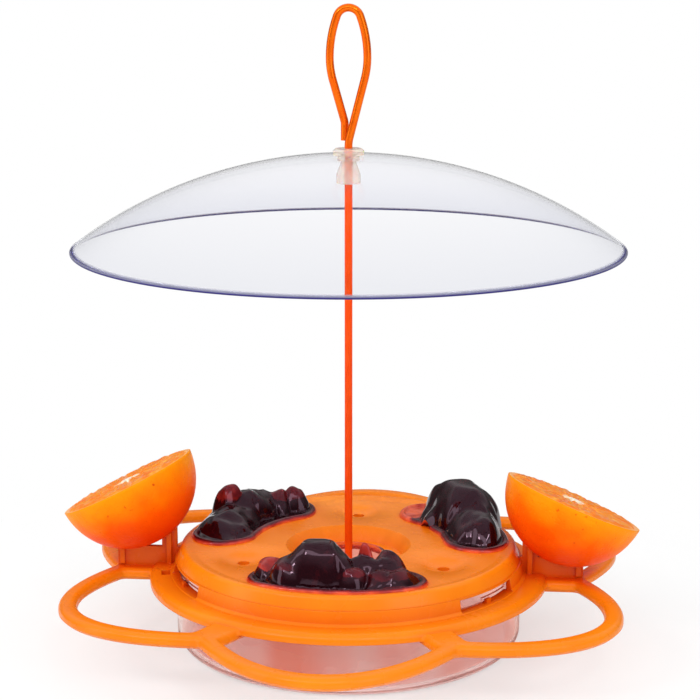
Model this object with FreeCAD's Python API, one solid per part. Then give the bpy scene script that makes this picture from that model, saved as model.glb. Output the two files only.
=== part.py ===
import FreeCAD, Part
import math
import os

V = FreeCAD.Vector

# Oriole feeder: a clear nectar bowl, an orange lid with jelly wells, nectar
# ports, six perch loops and two fruit prongs, a steel hanging rod and a clear
# weather guard. Millimetres, +Z up, origin at the middle of the bowl's base.
# The front of the feeder faces -Y and the fruit prongs stand on the X axis.

# Clearances
turn_clearance = 0.3
thread_clearance = 0.03
slide_clearance = 0.04
food_clearance = 0.3

# Depth by which a moulded feature is sunk into the wall that carries it
root_overlap = 1.0

# Nectar bowl
bowl_radius = 89.7
bowl_wall = 2.0
bowl_corner_radius = 8.5
bowl_floor = 2.0
edge_break = 1.2
foot_ring_width = 9.0
foot_recess = 1.2
shoulder_width = 3.5
neck_wall = 1.6
neck_top = 46.5
lug_depth = 1.9
lug_angle = 25.0
lug_height = 5.5
lug_tail_height = 3.3
lug_count = 3
first_lug_angle = 326.0
lug_gap_angle = 0.4

# Ant moat cup and threaded boss in the middle of the bowl
moat_radius = 19.5
moat_wall = 1.8
moat_rise = 2.0
boss_radius = 6.5
boss_height = 14.0
bore_floor = 2.0
bore_end_gap = 0.5

# Lid
lid_wall = 2.2
flange_underside = 33.0
flange_width = 12.0
flange_thickness = 5.0
flange_edge_radius = 3.8
drum_wall = 1.8
drum_draft = 1.4
drum_height = 7.2
step_ledge = 0.8
crest_rise = 6.6
crest_inset = 3.2
crest_width = 2.6
crest_outer_rounding = 2.4
crest_inner_rounding = 1.6
dish_inset = 7.0
dish_depth = 1.1
dish_rounding = 6.0
recess_radius = 31.5
recess_floor_radius = 27.5
recess_depth = 7.0

# Jelly wells
well_count = 3
first_well_angle = 30.0
well_inset = 13.2
well_half_width = 14.6
well_half_angle = 24.0
well_depth = 14.0
well_draft = 1.8

# Nectar ports
first_port_angle = 90.0
port_inset = 21.0
port_dish_radius = 12.0
port_dish_depth = 2.8
port_hole_radius = 3.1

# Bayonet windows and ledges in the lid
window_height = 6.2
window_play_angle = 1.0
ledge_height = 2.2
ledge_stand = 0.3
nub_width_angle = 2.4
nub_height = 2.1

# Perch loops
loop_count = 6
first_loop_angle = 30.0
loop_stand = 47.0
loop_side_inset = 23.3
bar_width = 9.6
bar_height = 6.2
bar_rounding = 3.0
bar_bevel = 1.8
bar_underside = 29.9
web_width = 17.0
web_corner_radius = 3.0
loop_tip_radius = 3.0
notch_radius = 3.5
bar_root_length = 7.0
relief_depth = 0.3

# Fruit prongs
prong_angles = (0.0, 180.0)
web_thickness = 2.6
web_top = 46.7
web_stand = 18.6
inner_prong_gap = 3.0
inner_prong_width = 8.0
inner_prong_depth = 7.0
inner_prong_top = 72.0
outer_prong_width = 5.0
outer_prong_depth = 5.0
outer_prong_top = 60.0
prong_point_length = 12.0
prong_tip_width = 1.2
drain_angle = 11.0
drain_gap = 3.8
drain_length = 4.4
drain_width = 7.0

# Orange halves
orange_radius = 36.8
orange_tilts = (22.5, 27.0)
orange_rolls = (-9.0, 4.0)
orange_heights = (76.8, 81.4)
orange_cut_latitudes = (5.0, 2.0)
orange_inset = 3.2
rind_width = 4.0
pulp_rise = 1.6
core_radius = 3.2
segment_count = 10
segment_gap = 1.0

# Jelly in the wells: outline of its lip, then the lumps of each helping as
# distance out from the well's middle, angle from it, spread and rise
lip_half_width = 17.6
lip_height = 2.2
lip_draft = 0.8
jelly_lumps = {
    "jelly_left": (150.0, ((-0.8, 12, 15, 21), (0.2, -9, 14, 17), (-0.8, -22, 11, 14))),
    "jelly_front": (270.0, ((-2.8, -12, 16, 22), (-1.8, 12, 14, 17), (0.2, 26, 11, 12))),
    "jelly_right": (30.0, ((0, -4, 14, 24), (1.2, -19, 12, 15), (-0.8, 15, 12, 12.5)))}

# Hanging rod
rod_radius = 2.0
hanging_loop_height = 65.5
loop_half_span = 9.4
loop_top_bend = 6.15
loop_side_bend = 60.0
loop_side_turn = 20.0
loop_lower_bend = 41.0
leg_lean = 14.4
bend_stand = 1.35
rod_bend = 15.0
tail_stand = 2.3
tail_side = 2.2
tail_back = 3.4
tail_length = 9.0
tail_bend = 8.0

# Weather guard and its grommet
guard_radius = 140.0
guard_rim_height = 208.4
guard_rise = 46.0
guard_wall = 1.6
guard_lip = 0.8
guard_hole_radius = 4.2
grommet_flange_radius = 7.9
grommet_flange_height = 3.2
grommet_seat_radius = 5.6
grommet_seat_height = 1.6
grommet_waist_radius = 3.6
grommet_foot_radius = 6.1
grommet_foot_height = 4.4
grommet_length = 12.6
grommet_seat_gap = 0.05
grommet_groove_gap = 0.2

# Heights and radii that follow from the sizes above
flange_top = flange_underside + flange_thickness
drum_top = flange_top + drum_height
crest_top = drum_top + crest_rise
plate_top = crest_top - dish_depth
recess_floor = plate_top - recess_depth
moat_top = recess_floor + moat_rise
shoulder_top = flange_underside - turn_clearance
neck_radius = bowl_radius - shoulder_width
drum_inside = neck_radius + lug_depth + turn_clearance
drum_top_radius = drum_inside + drum_wall
drum_foot_radius = drum_top_radius + drum_draft
flange_radius = drum_foot_radius + flange_width
crest_radius = drum_top_radius - crest_inset
dish_radius = crest_radius - dish_inset
well_middle_radius = dish_radius - well_inset
port_circle_radius = dish_radius - port_inset
loop_reach = flange_radius + loop_stand
loop_half_width = flange_radius - loop_side_inset
inner_prong_radius = drum_foot_radius + inner_prong_gap
web_outer_radius = flange_radius + web_stand
outer_prong_radius = web_outer_radius - outer_prong_width / 2
drain_radius = drum_foot_radius + drain_gap
orange_circle_radius = outer_prong_radius - orange_inset
guard_crown = guard_rim_height + guard_rise
grommet_top = guard_crown + grommet_seat_gap + grommet_flange_height
rod_bend_height = grommet_top + bend_stand
tail_end_height = rod_bend_height + tail_stand
loop_inside_top = rod_bend_height + hanging_loop_height
ledge_top = flange_top + ledge_stand
lug_base = ledge_top + turn_clearance


def revolve(points):
    """Turn a closed outline of (radius, height) points about the Z axis."""
    corners = [V(r, 0, z) for r, z in points]
    outline = Part.makePolygon(corners + [corners[0]])
    return Part.Face(outline).revolve(V(0, 0, 0), V(0, 0, 1), 360)


def round_rings(shape, rings):
    """Round circular edges, each given as (radius, height, rounding)."""
    for radius, height, rounding in rings:
        found = []
        for edge in shape.Edges:
            curve = edge.Curve
            if not isinstance(curve, Part.Circle):
                continue
            off_axis = math.hypot(curve.Center.x, curve.Center.y)
            if off_axis > 0.01 or abs(curve.Radius - radius) > 0.02:
                continue
            if abs(curve.Center.z - height) < 0.02:
                found.append(edge)
        shape = shape.makeFillet(rounding, found)
    return shape


def turned(shape, angle):
    """A copy turned about the Z axis."""
    copy = shape.copy()
    copy.rotate(V(0, 0, 0), V(0, 0, 1), angle)
    return copy


def ring_sector(inner, outer, low, high, start, end):
    """A block bounded by two cylinders, two heights and two angles."""
    section = Part.makePolygon([
        V(inner, 0, low), V(outer, 0, low), V(outer, 0, high), V(inner, 0, high), V(inner, 0, low)])
    block = Part.Face(section).revolve(V(0, 0, 0), V(0, 0, 1), end - start)
    return turned(block, start)


def point_at(radius, angle, height):
    turn = math.radians(angle)
    return V(radius * math.cos(turn), radius * math.sin(turn), height)


def kidney(half_width, height):
    """Kidney outline about the X axis: two concentric arcs with round ends."""
    outer = well_middle_radius + half_width
    inner = well_middle_radius - half_width
    swing = well_half_angle
    end_reach = math.degrees(half_width / well_middle_radius)
    arcs = [
        Part.Arc(point_at(outer, -swing, height), point_at(outer, 0, height), point_at(outer, swing, height)),
        end_arc(outer, inner, swing, end_reach, height),
        Part.Arc(point_at(inner, swing, height), point_at(inner, 0, height), point_at(inner, -swing, height)),
        end_arc(inner, outer, -swing, -end_reach, height)]
    return Part.Wire([arc.toShape() for arc in arcs])


def end_arc(first, last, swing, reach, height):
    """Round end of a kidney, a half circle from one arc to the other."""
    middle = point_at(well_middle_radius, swing, height)
    along = math.radians(swing + math.copysign(90.0, reach))
    half = abs(first - last) / 2
    tip = V(middle.x + half * math.cos(along), middle.y + half * math.sin(along), height)
    return Part.Arc(point_at(first, swing, height), tip, point_at(last, swing, height))


def kidney_block(low_half_width, low, high_half_width, high):
    """Drafted kidney between two heights."""
    return Part.makeLoft([kidney(low_half_width, low), kidney(high_half_width, high)], True, True)


def pattern(shape, count, first):
    return [turned(shape, first + 360.0 / count * i) for i in range(count)]


def make_bowl():
    """Clear bowl with a foot ring, a neck with bayonet lugs and the ant moat cup."""
    inside = bowl_radius - bowl_wall
    neck_inside = neck_radius - neck_wall
    foot_inside = bowl_radius - bowl_corner_radius - foot_ring_width
    floor_top = foot_recess + bowl_floor
    shoulder_under = shoulder_top - bowl_wall
    moat_inside = moat_radius - moat_wall
    boss_top = floor_top + boss_height
    bore = rod_radius + thread_clearance
    body = revolve([
        (0, foot_recess), (foot_inside, foot_recess), (foot_inside, 0), (bowl_radius, 0),
        (bowl_radius, shoulder_top - edge_break), (bowl_radius - edge_break, shoulder_top),
        (neck_radius, shoulder_top), (neck_radius, neck_top),
        (neck_inside, neck_top), (neck_inside, shoulder_under), (inside, shoulder_under),
        (inside, floor_top), (moat_radius + edge_break, floor_top),
        (moat_radius, floor_top + edge_break), (moat_radius, moat_top), (moat_inside, moat_top),
        (moat_inside, floor_top), (boss_radius, floor_top), (boss_radius, boss_top),
        (bore, boss_top), (bore, floor_top + bore_floor),
        (0, floor_top + bore_floor)])
    body = round_rings(body, [
        (bowl_radius, 0, bowl_corner_radius),
        (inside, floor_top, bowl_corner_radius - bowl_wall)])
    half = lug_angle / 2
    reach = neck_radius + lug_depth
    root = neck_radius - neck_wall / 2
    lug_top = lug_base + lug_height
    head = ring_sector(root, reach, lug_base, lug_top, -half, -nub_width_angle / 2 - lug_gap_angle)
    tail = ring_sector(root, reach, lug_top - lug_tail_height, lug_top, -half, half)
    lug = head.fuse(tail)
    body = body.fuse(pattern(lug, lug_count, first_lug_angle))
    return body.removeSplitter()


def make_lid_shell():
    """Turned part of the lid: recess, plate, rim, drum wall and flange."""
    collar = moat_radius + turn_clearance
    wall_under = plate_top - lid_wall
    crest_under = crest_top - lid_wall
    recess_slope = recess_radius - recess_floor_radius
    foot_slope = (drum_foot_radius - drum_top_radius) * edge_break / drum_height
    shell = revolve([
        (collar, recess_floor - lid_wall), (collar, recess_floor),
        (recess_floor_radius, recess_floor), (recess_radius, plate_top - edge_break),
        (recess_radius + edge_break, plate_top),
        (dish_radius, plate_top), (crest_radius - crest_width, crest_top), (crest_radius, crest_top),
        (drum_top_radius - step_ledge, drum_top), (drum_top_radius, drum_top),
        (drum_foot_radius - foot_slope, flange_top + edge_break),
        (drum_foot_radius + edge_break, flange_top), (flange_radius, flange_top),
        (flange_radius, flange_underside), (drum_inside, flange_underside),
        (drum_inside, drum_top), (crest_radius - crest_width, crest_under),
        (dish_radius, wall_under), (recess_radius + lid_wall, wall_under),
        (recess_radius + lid_wall - recess_slope, recess_floor - lid_wall)])
    return round_rings(shell, [
        (dish_radius, plate_top, dish_rounding),
        (crest_radius, crest_top, crest_outer_rounding),
        (crest_radius - crest_width, crest_top, crest_inner_rounding),
        (flange_radius, flange_top, flange_edge_radius)])


def upright_edges(shape, nearest, farthest):
    """Straight edges along Z that stand between two distances from the axis."""
    found = []
    for edge in shape.Edges:
        ends = [vertex.Point for vertex in edge.Vertexes]
        if len(ends) < 2 or math.hypot(ends[1].x - ends[0].x, ends[1].y - ends[0].y) > 0.001:
            continue
        if nearest <= math.hypot(ends[0].x, ends[0].y) < farthest:
            found.append(edge)
    return found


def edges_at_height(shape, height):
    """Edges that lie flat at the given height."""
    boxes = [(edge, edge.BoundBox) for edge in shape.Edges]
    return [edge for edge, box in boxes if box.ZMax - height < 0.001 and height - box.ZMin < 0.001]


def ellipse_block(long_half, short_half, low, high):
    """Upright elliptical block about the Z axis, long axis on X."""
    ellipse = Part.Ellipse(V(0, 0, low), long_half, short_half).toShape()
    return Part.Face(Part.Wire(ellipse)).extrude(V(0, 0, high - low))


def make_loop_hole(low, high, inner):
    """One level of the opening in a loop, from an inner radius out to the bar."""
    half_bar = bar_width / 2
    side = 360.0 / loop_count / 2
    reach = loop_reach + bar_width
    hole = ellipse_block(loop_reach - half_bar, loop_half_width - half_bar, low, high)
    hole = hole.cut(Part.makeCylinder(inner, high - low, V(0, 0, low)))
    web = Part.makeBox(reach, web_width, high - low, V(0, -web_width / 2, low))
    hole = hole.cut([turned(web, side), turned(web, -side)])
    hole = hole.common(ring_sector(root_overlap, reach, low, high, -side, side)).Solids[0]
    return hole.makeFillet(loop_tip_radius, upright_edges(hole, flange_radius + root_overlap, reach))


def make_perch_ring():
    """Six overlapping oval loops moulded as one rounded ring of bars."""
    bar_top = bar_underside + bar_height
    half_bar = bar_width / 2
    oval = ellipse_block(loop_reach + half_bar, loop_half_width + half_bar, bar_underside, bar_top)
    ovals = pattern(oval, loop_count, first_loop_angle)
    disc = ovals[0].fuse(ovals[1:]).removeSplitter()
    reach = loop_reach + bar_width
    disc = disc.makeFillet(notch_radius, upright_edges(disc, flange_radius, reach))
    root = flange_radius - bar_root_length
    side = 360.0 / loop_count / 2
    beside_flange = flange_radius + root_overlap
    above = make_loop_hole(flange_underside, bar_top, flange_radius - relief_depth)
    above = above.makeFillet(web_corner_radius, upright_edges(above, 0, beside_flange))
    below = make_loop_hole(bar_underside, flange_underside, root - root_overlap)
    hole = above.fuse(below).removeSplitter()
    ring = disc.cut(pattern(hole, loop_count, first_loop_angle))
    ring = ring.makeFillet(bar_rounding, edges_at_height(ring, bar_top))
    ring = ring.makeChamfer(bar_bevel, edges_at_height(ring, bar_underside))
    ring = ring.cut(Part.makeCylinder(root, bar_height, V(0, 0, bar_underside)))
    relief_half = side - math.degrees((web_width / 2 + web_corner_radius) / flange_radius)
    relief = ring_sector(
        root - root_overlap, flange_radius - relief_depth, flange_underside, bar_top,
        -relief_half, relief_half)
    return ring.cut(pattern(relief, loop_count, first_loop_angle))


def make_rib(centre, width, foot, top, thickness, grow):
    """Flat rib that narrows to a point, drawn in the XZ plane."""
    half = width / 2 + grow
    tip = prong_tip_width / 2 + grow
    neck = top - prong_point_length
    outline = Part.makePolygon([
        V(centre - half, 0, foot), V(centre + half, 0, foot), V(centre + half, 0, neck),
        V(centre + tip, 0, top + grow), V(centre - tip, 0, top + grow), V(centre - half, 0, neck),
        V(centre - half, 0, foot)])
    rib = Part.Face(outline).extrude(V(0, thickness + 2 * grow, 0))
    rib.translate(V(0, -thickness / 2 - grow, 0))
    return rib


def make_prong(centre, width, depth, top, grow):
    """Fruit prong with a plus-shaped section."""
    foot = flange_top - root_overlap
    along = make_rib(centre, width, foot, top, web_thickness, grow)
    across = make_rib(0, depth, foot, top, web_thickness, grow)
    across.rotate(V(0, 0, 0), V(0, 0, 1), 90)
    across.translate(V(centre, 0, 0))
    return along.fuse(across)


def make_prongs(grow):
    """The two prongs of one fruit station, on the X axis."""
    inner = make_prong(inner_prong_radius, inner_prong_width, inner_prong_depth, inner_prong_top, grow)
    outer = make_prong(outer_prong_radius, outer_prong_width, outer_prong_depth, outer_prong_top, grow)
    return inner.fuse(outer)


def make_web(grow):
    """Upright web of one fruit station, on the X axis."""
    start = drum_top_radius - drum_wall / 2
    foot = bar_underside + bar_height / 2
    thickness = web_thickness + 2 * grow
    web = Part.makeBox(
        web_outer_radius + grow - start, thickness, web_top + grow - foot, V(start, -thickness / 2, foot))
    return web.cut(Part.makeCylinder(drum_foot_radius, flange_top - foot, V(0, 0, foot)))


def make_station(grow):
    """One fruit station: an upright web that carries two prongs."""
    return make_web(grow).fuse(make_prongs(grow))


def make_port():
    """Solid cap under a nectar port, and the dish and hole that cut it."""
    ball = (port_dish_radius ** 2 + port_dish_depth ** 2) / (2 * port_dish_depth)
    centre = V(port_circle_radius, 0, plate_top - port_dish_depth + ball)
    cap = Part.makeSphere(ball + lid_wall, centre)
    keep = Part.makeCylinder(ball, lid_wall * 3, V(port_circle_radius, 0, plate_top - lid_wall * 3))
    cap = cap.common(keep)
    dish = Part.makeSphere(ball, centre)
    drop = port_dish_depth + lid_wall * 2
    hole = Part.makeCylinder(port_hole_radius, drop * 2, V(port_circle_radius, 0, plate_top - drop))
    return cap, dish.fuse(hole)


def make_lid():
    """Orange lid moulded in one piece with its perches and fruit stations."""
    lid = make_lid_shell()
    floor = plate_top - well_depth
    cup_outside = kidney_block(
        well_half_width - well_draft + lid_wall, floor - lid_wall,
        well_half_width + lid_wall, plate_top - lid_wall / 4)
    cup_inside = kidney_block(well_half_width - well_draft, floor, well_half_width, plate_top)
    mouth = kidney_block(well_half_width, plate_top, well_half_width, crest_top)
    cap, port = make_port()
    lid = lid.fuse(pattern(cup_outside, well_count, first_well_angle))
    lid = lid.fuse(pattern(cap, well_count, first_port_angle))
    lid = lid.cut(pattern(cup_inside, well_count, first_well_angle))
    lid = lid.cut(pattern(mouth, well_count, first_well_angle))
    lid = lid.cut(pattern(port, well_count, first_port_angle))
    half = lug_angle / 2 + window_play_angle
    window = ring_sector(
        drum_inside - root_overlap, drum_foot_radius + root_overlap,
        ledge_top, ledge_top + window_height, -half, half)
    nub = ring_sector(
        drum_inside, drum_top_radius, ledge_top - root_overlap, ledge_top + nub_height,
        -nub_width_angle / 2, nub_width_angle / 2)
    ledge = ring_sector(
        neck_radius + turn_clearance, drum_inside + root_overlap, ledge_top - ledge_height, ledge_top,
        -half - window_play_angle, half + window_play_angle)
    lid = lid.cut(pattern(window, lug_count, first_lug_angle))
    lid = lid.fuse(pattern(nub, lug_count, first_lug_angle) + pattern(ledge, lug_count, first_lug_angle))
    lid = lid.fuse(make_perch_ring())
    lid = lid.fuse([turned(make_station(0), angle) for angle in prong_angles])
    drain = Part.makeBox(
        drain_length, drain_width, flange_thickness * 3,
        V(drain_radius - drain_length / 2, -drain_width / 2, bar_underside - root_overlap))
    lid = lid.cut([turned(drain, angle + drain_angle) for angle in prong_angles])
    return lid.removeSplitter()


def arc_about(start, heading, side, bend, turn):
    """Arc of a rod: from start along heading, curving towards side by turn degrees."""
    half = math.radians(turn / 2)
    full = math.radians(turn)
    middle = start + heading * (bend * math.sin(half)) + side * (bend * (1 - math.cos(half)))
    end = start + heading * (bend * math.sin(full)) + side * (bend * (1 - math.cos(full)))
    new_heading = heading * math.cos(full) + side * math.sin(full)
    new_side = side * math.cos(full) - heading * math.sin(full)
    return Part.Arc(start, middle, end).toShape(), end, new_heading, new_side


def make_rod():
    """Steel rod bent into a teardrop hanging loop, with its tail beside the rod."""
    foot = foot_recess + bowl_floor + bore_floor + bore_end_gap
    top = loop_inside_top + rod_radius
    side_height = top - loop_top_bend * (1 - math.sin(math.radians(loop_side_turn)))
    side_height -= loop_side_bend * math.sin(math.radians(loop_side_turn))
    edges = [Part.makeLine(V(0, 0, foot), V(0, 0, rod_bend_height))]
    point = V(0, 0, rod_bend_height)
    heading = V(0, 0, 1)
    side = V(1, 0, 0)
    edge, point, heading, side = arc_about(point, heading, side, rod_bend, leg_lean)
    edges.append(edge)
    lean = math.radians(leg_lean)
    leg_top_x = loop_half_span - loop_lower_bend * (1 - math.cos(lean))
    leg_length = (leg_top_x - point.x) / math.sin(lean)
    leg_end = point + heading * leg_length
    edges.append(Part.makeLine(point, leg_end))
    edge, point, heading, side = arc_about(leg_end, heading, side * -1, loop_lower_bend, leg_lean)
    edges.append(edge)
    side_start = V(point.x, 0, side_height)
    if side_height - point.z > 0.01:
        edges.append(Part.makeLine(point, side_start))
        point = side_start
    for bend, turn in (
            (loop_side_bend, loop_side_turn), (loop_top_bend, 180 - 2 * loop_side_turn),
            (loop_side_bend, loop_side_turn)):
        edge, point, heading, side = arc_about(point, heading, side, bend, turn)
        edges.append(edge)
    left_foot = V(-loop_half_span, 0, leg_end.z + loop_lower_bend * math.sin(lean))
    if point.z - left_foot.z > 0.01:
        edges.append(Part.makeLine(point, left_foot))
        point = left_foot
    edge, point, heading, side = arc_about(point, heading, side, loop_lower_bend, leg_lean)
    edges.append(edge)
    path = Part.Wire(edges)
    section = Part.Wire(Part.Circle(V(0, 0, foot), V(0, 0, 1), rod_radius).toShape())
    rod = path.makePipeShell([section], True, False)
    return rod, point, heading


def make_tail(start, heading):
    """Free end of the loop: a straight run, a small bend and a short upright end."""
    run_end = V(-tail_side, tail_back, tail_end_height + tail_length)
    aim = run_end - start
    aim.normalize()
    down = V(0, 0, -1)
    turn = aim.getAngle(down)
    trim = tail_bend * math.tan(turn / 2)
    bend_start = run_end - aim * trim
    bend_end = run_end + down * trim
    bisector = (down - aim)
    bisector.normalize()
    centre = run_end + bisector * (tail_bend / math.cos(turn / 2))
    middle = centre - bisector * tail_bend
    path = Part.Wire([
        Part.makeLine(start, bend_start), Part.Arc(bend_start, middle, bend_end).toShape(),
        Part.makeLine(bend_end, V(run_end.x, run_end.y, tail_end_height))])
    section = Part.Wire(Part.Circle(start, aim, rod_radius).toShape())
    return path.makePipeShell([section], True, False)


def make_hanger():
    rod, point, heading = make_rod()
    knuckle = Part.makeSphere(rod_radius, point)
    return rod.fuse([knuckle, make_tail(point, heading)])


def guard_section(offset):
    """Radius of the guard's sphere and the height of its centre."""
    ball = (guard_radius ** 2 + guard_rise ** 2) / (2 * guard_rise)
    return ball - offset, guard_rim_height + guard_rise - ball


def make_guard():
    """Clear domed guard with a turned-down lip and a hole for the grommet."""
    ball, centre = guard_section(0)
    inner, centre = guard_section(guard_wall)
    outer_hole = centre + math.sqrt(ball ** 2 - guard_hole_radius ** 2)
    inner_hole = centre + math.sqrt(inner ** 2 - guard_hole_radius ** 2)
    slope = math.asin(guard_radius / ball)
    rim_outer = V(ball * math.sin(slope), 0, centre + ball * math.cos(slope))
    rim_inner = V(inner * math.sin(slope), 0, centre + inner * math.cos(slope))
    rim_outer_foot = rim_outer + V(0, 0, -guard_lip)
    rim_inner_foot = rim_inner + V(0, 0, -guard_lip)
    middle = slope / 2
    edges = [
        Part.Arc(V(guard_hole_radius, 0, outer_hole),
                 V(ball * math.sin(middle), 0, centre + ball * math.cos(middle)), rim_outer).toShape(),
        Part.makeLine(rim_outer, rim_outer_foot),
        Part.makeLine(rim_outer_foot, rim_inner_foot),
        Part.makeLine(rim_inner_foot, rim_inner),
        Part.Arc(rim_inner, V(inner * math.sin(middle), 0, centre + inner * math.cos(middle)),
                 V(guard_hole_radius, 0, inner_hole)).toShape(),
        Part.makeLine(V(guard_hole_radius, 0, inner_hole), V(guard_hole_radius, 0, outer_hole))]
    return Part.Face(Part.Wire(edges)).revolve(V(0, 0, 0), V(0, 0, 1), 360)


def make_grommet():
    """Soft spool that grips the rod and holds the guard in its groove."""
    bore = rod_radius + slide_clearance
    neck = guard_hole_radius - slide_clearance
    seat_under = guard_crown + grommet_seat_gap
    seat_top = guard_crown - guard_wall - grommet_groove_gap
    seat_foot = seat_top - grommet_seat_height
    bottom = seat_top - grommet_length
    return revolve([
        (bore, bottom), (grommet_foot_radius, bottom),
        (grommet_foot_radius, bottom + grommet_foot_height),
        (grommet_waist_radius, seat_foot), (grommet_seat_radius, seat_foot),
        (grommet_seat_radius, seat_top), (neck, seat_top), (neck, seat_under),
        (grommet_flange_radius, seat_under), (grommet_flange_radius, grommet_top - edge_break),
        (grommet_flange_radius - edge_break, grommet_top), (bore, grommet_top)])


def make_orange(tilt, roll, height, cut_latitude, angle):
    """Half an orange, cut face up, pushed on to the prongs and leaning outwards."""
    latitude = math.radians(cut_latitude)
    middle = V(0, 0, orange_radius * math.sin(latitude))
    half = Part.makeSphere(orange_radius, middle, V(0, 0, 1), -90, -cut_latitude, 360)
    pulp_radius = orange_radius * math.cos(latitude) - rind_width
    pulp = Part.makeCylinder(pulp_radius, pulp_rise)
    pulp = pulp.cut(Part.makeCylinder(core_radius, pulp_rise))
    gap = Part.makeBox(orange_radius, segment_gap, pulp_rise, V(0, -segment_gap / 2, 0))
    pulp = pulp.cut(pattern(gap, segment_count, 0))
    half = half.fuse(pulp)
    half.rotate(V(0, 0, 0), V(1, 0, 0), roll)
    half.rotate(V(0, 0, 0), V(0, 1, 0), tilt)
    half.translate(V(orange_circle_radius, 0, height))
    half = half.cut(make_station(food_clearance))
    return turned(half, angle).removeSplitter()


def make_mound(outwards, angle, spread, rise):
    """Round-topped lump of jelly that stands on the plate."""
    radius = well_middle_radius + outwards
    base = plate_top + food_clearance
    ball = (spread ** 2 + rise ** 2) / (2 * rise)
    lump = Part.makeSphere(ball, point_at(radius, angle, base + rise - ball))
    return lump.common(Part.makeCylinder(ball * 2, rise * 2, point_at(radius, angle, base)))


def make_jelly(angle, lumps):
    """Jelly that fills one well, with a rounded lip and lumps above the plate."""
    floor = plate_top - well_depth + food_clearance
    low_width = well_half_width - well_draft - food_clearance
    fill = kidney_block(low_width, floor, well_half_width - food_clearance, plate_top + food_clearance)
    lip_low = plate_top + food_clearance
    lip = kidney_block(lip_half_width, lip_low, lip_half_width - lip_draft, lip_low + lip_height)
    jelly = fill.fuse([lip] + [make_mound(*lump) for lump in lumps])
    rim = revolve([
        (dish_radius - dish_rounding, floor), (crest_radius, floor),
        (crest_radius, crest_top + food_clearance),
        (crest_radius - crest_width - food_clearance, crest_top + food_clearance),
        (dish_radius - dish_rounding, plate_top + food_clearance)])
    sunk = kidney_block(low_width, floor, well_half_width - food_clearance, crest_top + food_clearance)
    jelly = jelly.cut(rim.cut(sunk))
    return turned(jelly.removeSplitter(), angle)


def main():
    os.makedirs("parts", exist_ok=True)
    parts = {
        "nectar_bowl": make_bowl(),
        "feeder_lid": make_lid(),
        "hanging_rod": make_hanger(),
        "weather_guard": make_guard(),
        "guard_grommet": make_grommet()}
    sides = ("right", "left")
    stations = zip(orange_tilts, orange_rolls, orange_heights, orange_cut_latitudes, prong_angles)
    for side, station in zip(sides, stations):
        parts["orange_half_" + side] = make_orange(*station)
    for name, (angle, lumps) in jelly_lumps.items():
        parts[name] = make_jelly(angle, lumps)
    for name, shape in parts.items():
        shape.exportStep("parts/" + name + ".step")


main()
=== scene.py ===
import math

import bpy
from mathutils import Matrix, Vector, noise


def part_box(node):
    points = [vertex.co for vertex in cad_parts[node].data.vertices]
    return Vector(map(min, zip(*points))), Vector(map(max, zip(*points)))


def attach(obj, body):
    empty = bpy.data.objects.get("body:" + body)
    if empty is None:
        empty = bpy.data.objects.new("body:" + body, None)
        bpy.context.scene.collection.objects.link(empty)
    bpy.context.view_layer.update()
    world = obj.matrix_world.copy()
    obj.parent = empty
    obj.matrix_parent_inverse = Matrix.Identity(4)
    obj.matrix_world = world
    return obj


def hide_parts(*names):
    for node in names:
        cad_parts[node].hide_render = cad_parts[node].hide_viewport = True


# Bird feeder with a clear nectar bowl, an orange lid, fruit, jelly and a clear
# weather guard. Metres, +Z up, the front of the feeder faces -Y.

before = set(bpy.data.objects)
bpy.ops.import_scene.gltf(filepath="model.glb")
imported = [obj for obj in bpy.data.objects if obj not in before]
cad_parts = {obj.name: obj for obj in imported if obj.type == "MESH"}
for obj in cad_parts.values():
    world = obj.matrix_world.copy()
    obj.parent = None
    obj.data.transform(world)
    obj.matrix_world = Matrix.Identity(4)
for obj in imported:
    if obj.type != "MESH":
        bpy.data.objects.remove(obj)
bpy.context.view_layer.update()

MM = 0.001
guard_low, guard_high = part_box("weather_guard")
bowl_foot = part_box("nectar_bowl")[0].z

# Weather guard
guard_wall = 1.6 * MM
guard_rise = 46.0 * MM
guard_hole_radius = 4.3 * MM
guard_inset = 0.05 * MM

# Heights and radii on the lid that the jelly lies on
plate_top = 50.7 * MM
crest_top = 51.8 * MM
dish_radius = 80.0 * MM
crest_foot = 84.4 * MM

# Kidney-shaped jelly wells, and the bead and skin of the jelly round them
well_radius = 66.8 * MM
well_half_width = 14.2 * MM
well_taper = 1.4 * MM
well_swing = math.radians(24.0)
well_floor = 37.2 * MM
lip_half_width = 17.5 * MM
lip_wander = 0.5 * MM
lip_bead = 2.4 * MM
lip_rise = 2.3 * MM
skin_rise = 1.0 * MM
lump_blend = 2.2 * MM

# Orange halves
orange_radius = 36.7 * MM
orange_circle = 116.5 * MM
rind = 2.4 * MM
segment_count = 10
side_names = ("right", "left")
peel_slot = 0
pith_slot = 1
flesh_slot = 2


# Materials

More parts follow.
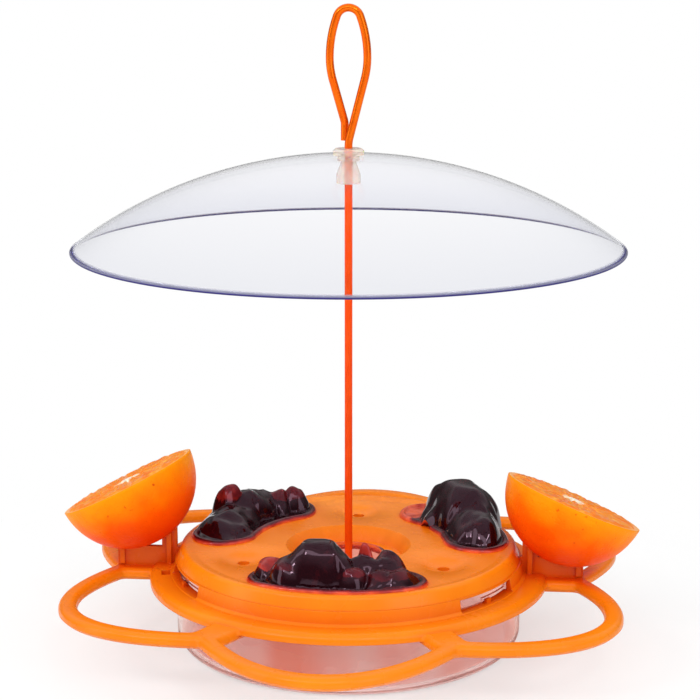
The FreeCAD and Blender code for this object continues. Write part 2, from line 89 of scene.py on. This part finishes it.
class Nodes:
    """A material's node tree with short ways to add and join nodes."""

    def __init__(self, name):
        self.material = bpy.data.materials.new(name)
        self.material.use_nodes = True
        self.tree = self.material.node_tree
        self.shader = self.tree.nodes["Principled BSDF"]
        self.output = self.tree.nodes["Material Output"]

    def add(self, kind, inputs=None, **settings):
        """A new node with its settings, and its inputs as values or links."""
        node = self.tree.nodes.new("ShaderNode" + kind)
        for key, value in settings.items():
            setattr(node, key, value)
        for key, value in (inputs or {}).items():
            self.set(node, key, value)
        return node

    def set(self, node, key, value):
        """Link a socket to an input, or write a plain value to it."""
        if isinstance(value, bpy.types.NodeSocket):
            self.tree.links.new(value, node.inputs[key])
        else:
            node.inputs[key].default_value = value

    def place(self):
        """The point being shaded, in the piece's own rest coordinates."""
        return self.add("TexCoord").outputs["Object"]

    def axis(self, letter):
        """One coordinate of the shaded point."""
        return self.add("SeparateXYZ", {"Vector": self.place()}).outputs[letter]

    def math(self, operation, first, second=0.0):
        """Two values joined by one step of arithmetic."""
        return self.add("Math", {0: first, 1: second}, operation=operation).outputs["Value"]

    def radius(self):
        """Distance of the shaded point from the piece's upright axis."""
        parts = self.add("SeparateXYZ", {"Vector": self.place()})
        x, y = parts.outputs["X"], parts.outputs["Y"]
        return self.math("SQRT", self.math("ADD", self.math("MULTIPLY", x, x), self.math("MULTIPLY", y, y)))

    def span(self, value, low, high, start=0.0, end=1.0):
        """A value mapped from low..high to start..end."""
        limits = {"From Min": low, "From Max": high, "To Min": start, "To Max": end}
        return self.add("MapRange", {"Value": value, **limits}).outputs["Result"]

    def noise(self, scale, detail=3.0, vector=None):
        """Soft random blotches between 0 and 1."""
        return self.add("TexNoise", {
            "Vector": vector or self.place(), "Scale": scale, "Detail": detail}).outputs["Fac"]

    def ramp(self, factor, *stops):
        """Colours along a factor, each stop as (position, colour)."""
        ramp = self.add("ValToRGB", {"Fac": factor})
        points = ramp.color_ramp.elements
        while len(points) < len(stops):
            points.new(1.0)
        for point, (position, colour) in zip(points, stops):
            point.position = position
            point.color = (*colour, 1.0)
        return ramp.outputs["Color"]

    def mix(self, factor, first, second):
        """Two colours mixed by a factor."""
        inputs = {"Factor": factor, "A": first, "B": second}
        return self.add("Mix", inputs, data_type="RGBA").outputs["Result"]

    def bump(self, height, strength, distance, normal=None):
        """A surface normal disturbed by a height."""
        inputs = {"Height": height, "Strength": strength, "Distance": distance}
        if normal is not None:
            inputs["Normal"] = normal
        return self.add("Bump", inputs).outputs["Normal"]

    def finish(self, **inputs):
        """The material, with the named inputs of its shader set or linked."""
        for key, value in inputs.items():
            self.set(self.shader, key.replace("_", " "), value)
        return self.material


def lid_plastic():
    """Satin moulded plastic with softly broken edges, faint flow marks and painted red-orange shade in its
    recesses.
    """
    n = Nodes("lid_plastic")
    colour = n.ramp(
        n.noise(22.0),
        (0.30, (0.84, 0.195, 0.003)), (0.55, (0.89, 0.225, 0.004)), (0.80, (0.93, 0.260, 0.006)))
    # Painted shade: creases and recesses, found by ambient occlusion, are coloured a darker red-orange.
    occlusion_for_painted_shade = n.add("AmbientOcclusion", {"Distance": 14 * MM}, samples=8).outputs["AO"]
    colour = n.mix(n.span(occlusion_for_painted_shade, 0.35, 0.95), (0.74, 0.075, 0.001, 1.0), colour)
    soft_edges = n.add("Bevel", {"Radius": 0.7 * MM}, samples=6).outputs["Normal"]
    normal = n.bump(n.noise(160.0), 0.05, 0.4 * MM, soft_edges)
    roughness = n.span(n.noise(60.0), 0.0, 1.0, 0.22, 0.32)
    return n.finish(
        Base_Color=colour, Roughness=roughness, Normal=normal, IOR=1.45, Specular_IOR_Level=0.2)


def rod_paint():
    """Glossy orange coat over a steel rod, with painted light making the hanging loop a lighter orange, and
    a metallic shine on the loop.
    """
    n = Nodes("rod_paint")
    shaft = n.ramp(n.noise(120.0), (0.35, (0.84, 0.062, 0.002)), (0.70, (0.88, 0.080, 0.004)))
    # Painted light: the hanging loop is coloured a lighter orange than the shaft.
    loop = n.ramp(n.noise(90.0), (0.35, (0.86, 0.115, 0.002)), (0.70, (0.92, 0.165, 0.004)))
    loop_share = n.span(n.axis("Z"), 245.0 * MM, 265.0 * MM)
    normal = n.bump(n.noise(900.0), 0.05, 0.1 * MM)
    return n.finish(
        Base_Color=n.mix(loop_share, shaft, loop), Metallic=n.span(loop_share, 0.0, 1.0, 0.0, 0.5),
        Roughness=0.15, Normal=normal, IOR=1.5, Specular_IOR_Level=0.08)


def guard_plastic():
    """Clear plastic with a faint lavender tint that gathers in the cut rim."""
    n = Nodes("guard_plastic")
    rim = guard_low.z
    height = n.axis("Z")
    edge = n.span(height, rim + 2.5 * MM, rim + 1.4 * MM)
    clearness = n.math(
        "ADD", n.span(height, rim, rim + 40.0 * MM), n.span(n.noise(9.0), 0.0, 1.0, -0.1, 0.1))
    haze = n.ramp(clearness, (0.0, (0.840, 0.848, 0.890)), (1.0, (0.972, 0.972, 0.990)))
    colour = n.mix(edge, haze, (0.045, 0.04, 0.19, 1.0))
    return n.finish(
        Base_Color=colour, Roughness=0.03, IOR=1.06, Transmission_Weight=n.span(edge, 0.0, 1.0, 1.0, 0.15))


def bowl_plastic():
    """Clear plastic with a pink cast in upright bands, and painted shade that darkens it round the ant moat.
    """
    n = Nodes("bowl_plastic")
    stretch = n.add("Mapping", {"Vector": n.place(), "Scale": (1.0, 1.0, 0.12)}).outputs["Vector"]
    bands = n.noise(26.0, 2.0, vector=stretch)
    colour = n.ramp(
        bands, (0.34, (0.96, 0.50, 0.40)), (0.50, (1.0, 0.76, 0.71)), (0.66, (1.0, 0.96, 0.94)))
    # Painted shade: round the ant moat, under the lid, the plastic is coloured a darker pink-brown.
    colour = n.mix(n.span(n.radius(), 60.0 * MM, 40.0 * MM), colour, (0.90, 0.50, 0.42, 1.0))
    foot = n.span(n.axis("Z"), bowl_foot + 9.0 * MM, bowl_foot + 1.0 * MM)
    return n.finish(
        Base_Color=n.mix(foot, colour, (1.0, 0.76, 0.74, 1.0)), Roughness=0.06, IOR=1.13,
        Transmission_Weight=n.span(foot, 0.0, 1.0, 0.94, 0.62))


def grommet_plastic():
    """Soft, milky, half clear plastic."""
    n = Nodes("grommet_plastic")
    colour = n.ramp(n.noise(150.0), (0.35, (1.0, 0.86, 0.76)), (0.70, (1.0, 0.94, 0.88)))
    return n.finish(
        Base_Color=colour, Roughness=0.2, IOR=1.12, Transmission_Weight=0.7, Subsurface_Weight=0.4,
        Subsurface_Radius=(0.004, 0.002, 0.001))


def peel():
    """Orange peel: fine pores, faint specks, and painted light and shade that darken the colour towards the
    bottom and lighten it towards the top.
    """
    n = Nodes("orange_peel")
    pores = n.add("TexVoronoi", {"Vector": n.place(), "Scale": 560.0}).outputs["Distance"]
    height = n.math("ADD", n.span(pores, 0.05, 0.40), n.span(n.noise(75.0), 0.0, 1.0, 0.0, 3.0))
    mottling = n.span(n.noise(60.0), 0.2, 0.8, -0.18, 0.18)
    # Painted light and shade: the peel is coloured darker red towards the bottom and lighter orange towards
    # the top.
    colour = n.ramp(
        n.math("ADD", n.span(n.axis("Z"), -34.0 * MM, 0.0), mottling),
        (0.0, (0.86, 0.045, 0.0004)), (0.45, (1.0, 0.110, 0.0004)), (0.95, (1.0, 0.300, 0.001)))
    specks = n.span(n.noise(330.0, 1.0), 0.72, 0.84)
    colour = n.mix(specks, colour, (0.70, 0.06, 0.001, 1.0))
    return n.finish(
        Base_Color=colour, Roughness=0.40, Normal=n.bump(height, 0.45, 0.35 * MM), IOR=1.4,
        Specular_IOR_Level=0.08)


def flesh():
    """Moist pulp: long juice sacs that run out from a pale core."""
    n = Nodes("orange_flesh")
    parts = n.add("SeparateXYZ", {"Vector": n.place()})
    radius = n.radius()
    swing = n.math("ARCTAN2", parts.outputs["Y"], parts.outputs["X"])
    spread = n.add("CombineXYZ", {
        "X": n.math("MULTIPLY", radius, 170.0), "Y": n.math("MULTIPLY", swing, 9.0),
        "Z": n.math("MULTIPLY", parts.outputs["Z"], 200.0)}).outputs["Vector"]
    sacs = n.add("TexVoronoi", {"Vector": spread, "Scale": 1.0}).outputs["Distance"]
    colour = n.ramp(
        n.span(sacs, 0.0, 0.8),
        (0.0, (1.0, 0.46, 0.06)), (0.5, (1.0, 0.30, 0.014)), (1.0, (1.0, 0.20, 0.004)))
    ragged = n.span(n.noise(240.0), 0.2, 0.8, -2.5 * MM, 2.5 * MM)
    pale = n.span(n.math("ADD", radius, ragged), 7.5 * MM, 5.0 * MM)
    return n.finish(
        Base_Color=n.mix(pale, colour, (1.0, 0.80, 0.56, 1.0)), Roughness=0.3,
        Normal=n.bump(sacs, 0.5, 0.8 * MM), IOR=1.38, Specular_IOR_Level=0.2,
        Subsurface_Weight=0.15, Subsurface_Radius=(0.005, 0.0018, 0.0006))


def pith():
    """Pale spongy layer: tinted under the peel, white round the core."""
    n = Nodes("orange_pith")
    outer = n.ramp(n.noise(260.0), (0.30, (1.0, 0.36, 0.05)), (0.75, (1.0, 0.55, 0.20)))
    colour = n.mix(n.span(n.radius(), 14.0 * MM, 6.0 * MM), outer, (1.0, 0.90, 0.74, 1.0))
    normal = n.bump(n.noise(400.0), 0.3, 0.3 * MM)
    return n.finish(Base_Color=colour, Roughness=0.4, Specular_IOR_Level=0.2, Normal=normal)


def jelly_gel():
    """Dark set jelly: black where it is thick and red where light comes through."""
    n = Nodes("grape_jelly")
    thickness = n.add("Attribute", attribute_name="thickness").outputs["Fac"]
    patches = n.span(n.noise(95.0, 2.0), 0.35, 0.65, -0.16, 0.10)
    colour = n.ramp(
        n.math("ADD", thickness, patches), (0.0, (0.86, 0.125, 0.035)), (0.25, (0.42, 0.030, 0.018)),
        (0.50, (0.13, 0.006, 0.008)), (0.90, (0.014, 0.0015, 0.003)))
    normal = n.bump(n.noise(230.0, 2.0), 0.10, 0.7 * MM)
    return n.finish(
        Base_Color=colour, Roughness=0.05, Normal=normal, IOR=1.48, Specular_IOR_Level=0.36,
        Specular_Tint=(1.0, 0.66, 0.86, 1.0))


# Shapes

def add_piece(name, mesh, body, node, place=None):
    """A mesh piece on one body, standing for a CAD node."""
    piece = bpy.data.objects.new(name, mesh)
    bpy.context.scene.collection.objects.link(piece)
    if place is not None:
        piece.matrix_world = place
    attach(piece, body)
    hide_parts(node)
    return piece


def ring_points(radius, height, columns):
    """Points of a level circle round the upright axis."""
    turns = [2 * math.pi * j / columns for j in range(columns)]
    return [(radius * math.cos(turn), radius * math.sin(turn), height) for turn in turns]


def grid_faces(rows, columns, closed_rows=False):
    """Quads of a grid whose columns close into a ring."""
    faces = []
    for i in range(rows if closed_rows else rows - 1):
        below = i * columns
        above = (i + 1) % rows * columns
        for j in range(columns):
            k = (j + 1) % columns
            faces.append((below + j, below + k, above + k, above + j))
    return faces


def smooth_cad(node, material):
    """Weld a CAD node's facets and shade its rounds smoothly."""
    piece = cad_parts[node]
    piece.data.materials.clear()
    piece.data.materials.append(material)
    for polygon in piece.data.polygons:
        polygon.use_smooth = True
    weld = piece.modifiers.new("weld", "WELD")
    weld.merge_threshold = 0.004 * MM
    split = piece.modifiers.new("sharp_edges", "EDGE_SPLIT")
    split.split_angle = math.radians(32)


def build_guard(material):
    """Clear domed guard: an even wall under a round cap, with a rounded rim."""
    radius = guard_high.x - guard_inset
    ball = (radius ** 2 + guard_rise ** 2) / (2 * guard_rise)
    centre = guard_high.z - ball
    first = math.asin(guard_hole_radius / ball)
    last = math.asin(radius / ball)
    arc_steps = 56
    lip_steps = 8
    columns = 256

    def arc_point(size, step):
        swing = first + (last - first) * step / arc_steps
        return size * math.sin(swing), centre + size * math.cos(swing)

    profile = [arc_point(ball, step) for step in range(arc_steps + 1)]
    middle = ball - guard_wall / 2
    lip_radius = middle * math.sin(last)
    lip_height = centre + middle * math.cos(last)
    for step in range(1, lip_steps):
        swing = last + math.pi * step / lip_steps
        profile.append((
            lip_radius + guard_wall / 2 * math.sin(swing),
            lip_height + guard_wall / 2 * math.cos(swing)))
    profile += [arc_point(ball - guard_wall, step) for step in range(arc_steps, -1, -1)]
    points = []
    for r, z in profile:
        points += ring_points(r, z, columns)
    faces = [face[::-1] for face in grid_faces(len(profile), columns, True)]
    mesh = bpy.data.meshes.new("guard_dome")
    mesh.from_pydata(points, [], faces)
    mesh.shade_smooth()
    mesh.materials.append(material)
    add_piece("guard_dome", mesh, "guard", "weather_guard")


def peel_point(down, turn, rim_lift, seed):
    """A point on the peel, with shallow uneven dents that fade out at the cut."""
    dent_share = 0.006
    dent_fade = 6 * MM
    r = orange_radius * math.cos(down)
    z = rim_lift - orange_radius * math.sin(down)
    spot = Vector((r * math.cos(turn), r * math.sin(turn), z + seed))
    squeeze = 1 - dent_share * (1 + noise.noise(spot * 26.0)) * min(1.0, -z / dent_fade)
    return r * math.cos(turn) * squeeze, r * math.sin(turn) * squeeze, z * squeeze


def pulp_height(radius, turn, edge, seed):
    """How far the pulp or the core stands over the cut, and which material it shows."""
    core_radius = 4.0 * MM
    core_rise = 1.3 * MM
    skin_width = 1.2 * MM
    rim_width = 1.5 * MM
    highest = 1.55 * MM
    if radius < core_radius:
        return core_rise, pith_slot
    share = turn / (2 * math.pi) * segment_count % 1.0
    across = min(share, 1 - share) * 2 * math.pi / segment_count * radius
    lift = min(1.0, across / skin_width, (edge - radius) / rim_width)
    spot = Vector((radius * math.cos(turn), radius * math.sin(turn), seed))
    grain = noise.noise(spot * 300.0) + 0.6 * noise.noise(spot * 700.0)
    height = (0.2 + lift * (0.7 + 0.55 * grain)) * MM
    return min(max(height, 0.0), highest), flesh_slot if lift > 0.4 else pith_slot


def build_orange(side, angle, tilt, roll, height, cut_latitude, materials):
    """Half an orange, cut face up: peel, pith ring, pulp segments and a core."""
    rings = 44
    columns = 160
    pulp_rings = 34
    rim_steps = (
        (0.45, 0.18, peel_slot), (1.0, 0.22, pith_slot), (1.7, 0.12, pith_slot), (2.4, 0.10, pith_slot))
    rim_radius = orange_radius * math.cos(cut_latitude)
    rim_lift = orange_radius * math.sin(cut_latitude)
    edge = rim_radius - rind
    seed = 3.0 + side
    points = []
    marks = []
    for i in range(rings + 1):
        down = (math.pi / 2 - cut_latitude) * (1 - i / rings) + cut_latitude
        points += [peel_point(down, 2 * math.pi * j / columns, rim_lift, seed) for j in range(columns)]
        marks += [peel_slot] * columns
    for inset, lift, mark in rim_steps:
        points += ring_points(rim_radius - inset * MM, lift * MM, columns)
        marks += [mark] * columns
    for i in range(1, pulp_rings + 1):
        r = edge * (1 - i / pulp_rings)
        for j in range(columns):
            turn = 2 * math.pi * j / columns
            z, mark = pulp_height(r, turn, edge, seed)
            points.append((r * math.cos(turn), r * math.sin(turn), z))
            marks.append(mark)
    faces = grid_faces(rings + 1 + len(rim_steps) + pulp_rings, columns)
    mesh = bpy.data.meshes.new("orange_" + side_names[side])
    mesh.from_pydata(points, [], faces)
    for material in materials:
        mesh.materials.append(material)
    for polygon, face in zip(mesh.polygons, faces):
        polygon.material_index = max(marks[corner] for corner in face)
        polygon.use_smooth = True
    place = (
        Matrix.Rotation(angle, 4, "Z") @ Matrix.Translation((orange_circle, 0, height))
        @ Matrix.Rotation(tilt, 4, "Y") @ Matrix.Rotation(roll, 4, "X"))
    add_piece("orange_" + side_names[side], mesh, "lid", "orange_half_" + side_names[side], place)


def kidney_point(share, half_width):
    """A point on the kidney at a half width, as (arc length, offset) from the well's middle."""
    reach = well_radius * well_swing
    arc_share = 0.34
    cap_share = 0.16
    if share < arc_share:
        return reach * (2 * share / arc_share - 1), half_width
    share -= arc_share
    if share < cap_share:
        turn = math.pi * share / cap_share
        return reach + half_width * math.sin(turn), half_width * math.cos(turn)
    share -= cap_share
    if share < arc_share:
        return reach * (1 - 2 * share / arc_share), -half_width
    turn = math.pi * (share - arc_share) / cap_share
    return -reach - half_width * math.sin(turn), -half_width * math.cos(turn)


def bend_round(along, across, angle):
    """From arc length and offset beside a well to the lid's x and y, and the radius."""
    radius = well_radius + across
    turn = angle + along / well_radius
    return radius * math.cos(turn), radius * math.sin(turn), radius


def ground(radius):
    """Height of the lid's plate and of its raised rim."""
    rise = min(max((radius - dish_radius) / (crest_foot - dish_radius), 0.0), 1.0)
    return plate_top + (crest_top - plate_top) * rise


def soft_cap(height, cap):
    """The height, eased near the cap so that it never passes it."""
    free_share = 0.90
    start = free_share * cap
    if height < start:
        return height
    return start + (cap - start) * math.tanh((height - start) / (cap - start))


def smooth_max(first, second, reach):
    """The higher of two heights, with a fillet where they meet."""
    gap = max(reach - abs(first - second), 0.0) / reach
    return max(first, second) + gap * gap * reach / 4


def lump_shift(spot):
    """How far a lump's outline wanders there, in millimetres."""
    return Vector((
        noise.noise(spot * 70.0) * 4.0 + noise.noise(spot * 190.0) * 1.2,
        noise.noise(spot * 70.0 + Vector((9, 4, 0))) * 4.0))


def lump_relief(spot):
    """Folds, grain and slow swells on the lumps, in millimetres."""
    fold = max(0.0, 1 - abs(noise.noise(spot * 75.0 + Vector((0, 3, 7)))) * 3.0)
    grain = noise.noise(spot * 140.0)
    swell = noise.noise(spot * 55.0 + Vector((5, 0, 2)))
    return 1.3 * fold + 1.2 * grain + 1.8 * swell


def jelly_surface(along, across, edge, lumps, clear_from, unevenness, seed):
    """Height of the jelly over the plate, and how thick it looks there."""
    edge_fade = 1.1 * MM
    skin_fade = 1.5 * MM
    skin_grain = 0.35 * MM
    clear_fade = 4 * MM
    spot = Vector((along, across, seed))
    if edge < lip_bead:
        height = lip_rise * math.sqrt(max(0.0, 1 - ((lip_bead - edge) / lip_bead) ** 2))
        thickness = 0.10 + 0.60 * min(1.0, edge / edge_fade)
    else:
        inside = min(1.0, (edge - lip_bead) / skin_fade)
        height = lip_rise - (lip_rise - skin_rise) * inside + skin_grain * noise.noise(spot * 160.0) * inside
        thickness = 0.70 + 0.30 * inside
    if along > clear_from:
        thickness *= max(0.15, 1 - (along - clear_from) / clear_fade)
    shift = lump_shift(spot)
    body = 0.0
    for centre, offset, half_along, half_across, rise, power, tint in lumps:
        reach = math.hypot(
            (along / MM + shift.x - centre) / half_along, (across / MM + shift.y - offset) / half_across)
        if reach < 1:
            top = rise * MM * (1 - reach ** 2) ** power
            if top > height:
                thickness = 1.0 if reach > 0.75 else tint
            height = smooth_max(height, top, lump_blend)
            body = max(body, min(1.0, 3 * (1 - reach)))
    return height + body * unevenness * lump_relief(spot) * MM, thickness


def build_jelly(node, angle, seed, clear_from, unevenness, lumps, material):
    """One helping of jelly, spread over the plate and down into its well."""
    columns = 360
    rows = 84
    crowding = 1.15
    headroom = 1.0 * MM
    edge_drop = 0.05 * MM
    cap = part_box(node)[1].z + headroom - crest_top
    points = []
    depths = []
    for i in range(rows + 1):
        for j in range(columns):
            turn = 2 * math.pi * j / columns
            wave = noise.noise(Vector((math.cos(turn), math.sin(turn), seed)) * 3.0)
            half_width = lip_half_width - lip_wander + lip_wander * wave
            offset = half_width * (1 - (i / rows) ** crowding)
            along, across = kidney_point(j / columns, offset)
            x, y, radius = bend_round(along, across, angle)
            height, thickness = jelly_surface(
                along, across, half_width - offset, lumps, clear_from, unevenness, seed)
            points.append((x, y, ground(radius) + soft_cap(height, cap)))
            depths.append(thickness)
    points += [(x, y, z - edge_drop) for x, y, z in points[:columns]]
    depths += [0.1] * columns
    under_rings = (
        (well_half_width, plate_top), (well_half_width - well_taper, well_floor), (0.0, well_floor))
    for width, height in under_rings:
        for j in range(columns):
            along, across = kidney_point(j / columns, width)
            x, y, radius = bend_round(along, across, angle)
            points.append((x, y, height))
            depths.append(1.0)
    top = grid_faces(rows + 1, columns)
    start = (rows + 1) * columns
    under = [
        tuple(start + corner for corner in face[::-1])
        for face in grid_faces(len(under_rings) + 1, columns)]
    skirt = [(start + j, start + (j + 1) % columns, (j + 1) % columns, j) for j in range(columns)]
    name = node + "_helping"
    mesh = bpy.data.meshes.new(name)
    mesh.from_pydata(points, [], top + skirt + under)
    mesh.attributes.new("thickness", "FLOAT", "POINT").data.foreach_set("value", depths)
    mesh.shade_smooth()
    mesh.materials.append(material)
    piece = add_piece(name, mesh, "lid", node)
    weld = piece.modifiers.new("weld", "WELD")
    weld.merge_threshold = 0.02 * MM


# Pieces

smooth_cad("feeder_lid", lid_plastic())
smooth_cad("hanging_rod", rod_paint())
smooth_cad("nectar_bowl", bowl_plastic())
smooth_cad("guard_grommet", grommet_plastic())
build_guard(guard_plastic())

fruit = (peel(), pith(), flesh())
build_orange(
    side=0, angle=0.0, tilt=math.radians(22.5), roll=math.radians(-9.0), height=76.8 * MM,
    cut_latitude=math.radians(5.0), materials=fruit)
build_orange(
    side=1, angle=math.pi, tilt=math.radians(27.0), roll=math.radians(4.0), height=81.4 * MM,
    cut_latitude=math.radians(2.0), materials=fruit)

# Lumps of jelly in millimetres: along the well, across it, half lengths, rise,
# then how domed the lump is and how thick it looks
gel = jelly_gel()
build_jelly(
    "jelly_front", angle=math.radians(270), seed=1.3, clear_from=90 * MM, unevenness=1.0, lumps=(
        (-9, -2, 20, 13, 22.5, 0.60, 1.0), (-20, 1, 14, 11, 13.0, 0.60, 0.8),
        (16, -6, 6, 6, 19.5, 1.0, 0.3), (13, -3, 13, 10, 13.5, 0.60, 1.0),
        (7, 4, 8, 7, 10.0, 0.55, 0.7), (27, -3, 13, 10, 14.0, 0.55, 0.9),
        (25, 6, 15, 9, 8.5, 0.60, 0.8), (-37, -2, 8, 8, 8.5, 0.55, 0.3),
        (-28, -2, 10, 10, 8.0, 0.7, 0.6)), material=gel)
build_jelly(
    "jelly_left", angle=math.radians(150), seed=4.7, clear_from=90 * MM, unevenness=1.0, lumps=(
        (4, 9, 9, 8, 20.5, 0.60, 0.5), (-6, 6, 20, 12, 13.5, 0.45, 1.0),
        (12, 3, 22, 14, 11.0, 0.65, 1.0), (24, 0, 15, 13, 7.0, 0.70, 1.0),
        (-23, 2, 8, 10, 12.0, 0.55, 0.6), (-33, 2, 9, 10, 11.5, 0.55, 0.7)), material=gel)
build_jelly(
    "jelly_right", angle=math.radians(30), seed=8.1, clear_from=26 * MM, unevenness=0.35, lumps=(
        (4, 3, 29, 18, 26.0, 0.75, 1.0), (-16, 1, 20, 15, 15.0, 0.65, 1.0),
        (10, -5, 19, 12, 12.0, 0.65, 1.0)), material=gel)


# Floor, world, lamps and camera

def build_floor():
    """A plain pale floor that keeps the feeder's soft shadow and fades to white."""
    half = 8.0
    drop = 0.2 * MM
    fade_start = 0.13
    fade_end = 0.30
    near_white = 0.55
    through_white = 0.94
    mesh = bpy.data.meshes.new("floor")
    corners = [(-half, -half, 0), (half, -half, 0), (half, half, 0), (-half, half, 0)]
    mesh.from_pydata(corners, [], [(0, 1, 2, 3)])
    floor = bpy.data.objects.new("floor", mesh)
    floor.location.z = -drop
    bpy.context.scene.collection.objects.link(floor)
    n = Nodes("pale_floor")
    colour = n.ramp(n.noise(3.0), (0.3, (0.93, 0.93, 0.93)), (0.7, (0.95, 0.95, 0.95)))
    n.finish(Base_Color=colour, Roughness=0.8, Specular_IOR_Level=0.0)
    path = n.add("LightPath")
    white = n.add("Emission", {"Color": (1.0, 1.0, 1.0, 1.0), "Strength": 1.0})
    whiteness = n.span(n.radius(), fade_start, fade_end, near_white, 1.0)
    seen = n.math("MULTIPLY", path.outputs["Is Camera Ray"], whiteness)
    seen_through = n.math("MULTIPLY", path.outputs["Is Transmission Ray"], through_white)
    share = n.math("MAXIMUM", seen, seen_through)
    blend = n.add("MixShader", {0: share, 1: n.shader.outputs["BSDF"], 2: white.outputs["Emission"]})
    n.set(n.output, "Surface", blend.outputs["Shader"])
    mesh.materials.append(n.material)


def build_world():
    """White surroundings where seen; for lighting, bright overhead and dim low down."""
    world = bpy.data.worlds.new("studio")
    bpy.context.scene.world = world
    world.use_nodes = True
    nodes, links = world.node_tree.nodes, world.node_tree.links
    path = nodes.new("ShaderNodeLightPath")
    seen = nodes.new("ShaderNodeMath")
    seen.operation = "MAXIMUM"
    links.new(path.outputs["Is Camera Ray"], seen.inputs[0])
    links.new(path.outputs["Is Transmission Ray"], seen.inputs[1])
    place = nodes.new("ShaderNodeTexCoord")
    parts = nodes.new("ShaderNodeSeparateXYZ")
    links.new(place.outputs["Generated"], parts.inputs["Vector"])
    sky = nodes.new("ShaderNodeMapRange")
    sky.interpolation_type = "SMOOTHSTEP"
    for key, value in (("From Min", 0.2), ("From Max", 0.62), ("To Min", 0.16), ("To Max", 1.0)):
        sky.inputs[key].default_value = value
    links.new(parts.outputs["Z"], sky.inputs["Value"])
    level = nodes.new("ShaderNodeMix")
    links.new(seen.outputs["Value"], level.inputs["Factor"])
    links.new(sky.outputs["Result"], level.inputs["A"])
    level.inputs["B"].default_value = 1.0
    links.new(level.outputs["Result"], nodes["Background"].inputs["Strength"])
    nodes["Background"].inputs["Color"].default_value = (1.0, 1.0, 1.0, 1.0)


def lamp(name, place, width, height, power):
    """A rectangular lamp aimed at the middle of the feeder."""
    aim = Vector((0, 0, 0.1))
    data = bpy.data.lights.new(name, "AREA")
    data.shape = "RECTANGLE"
    data.size = width
    data.size_y = height
    data.energy = power
    light = bpy.data.objects.new(name, data)
    light.location = place
    light.rotation_euler = (aim - Vector(place)).to_track_quat("-Z", "Y").to_euler()
    bpy.context.scene.collection.objects.link(light)


def build_camera():
    """The photograph's point of view: a little above the lid, from the front."""
    data = bpy.data.cameras.new("camera")
    data.sensor_width = 36.0
    data.lens = 102.86
    data.shift_x = 0.0021
    camera = bpy.data.objects.new("camera", data)
    distance = 1.00106
    height = 0.3705
    turn = math.radians(5.35)
    drop = math.radians(12.19)
    camera.location = (distance * math.sin(turn), -distance * math.cos(turn), height)
    camera.rotation_euler = (math.pi / 2 - drop, 0, turn)
    bpy.context.scene.collection.objects.link(camera)
    bpy.context.scene.camera = camera


build_floor()
build_world()
lamp("key", (-0.3, -1.1, 1.0), 1.5, 0.28, 4.5)
lamp("fill", (0.9, -0.9, 0.5), 0.6, 0.6, 3.0)
lamp("edge", (-1.2, -0.5, 0.5), 0.4, 1.0, 3.2)
lamp("spark_left", (-0.75, -0.95, 0.85), 0.14, 0.14, 1.4)
lamp("spark_right", (0.4, -1.1, 1.05), 0.14, 0.14, 1.4)
build_camera()
bpy.context.scene.view_settings.view_transform = "Standard"
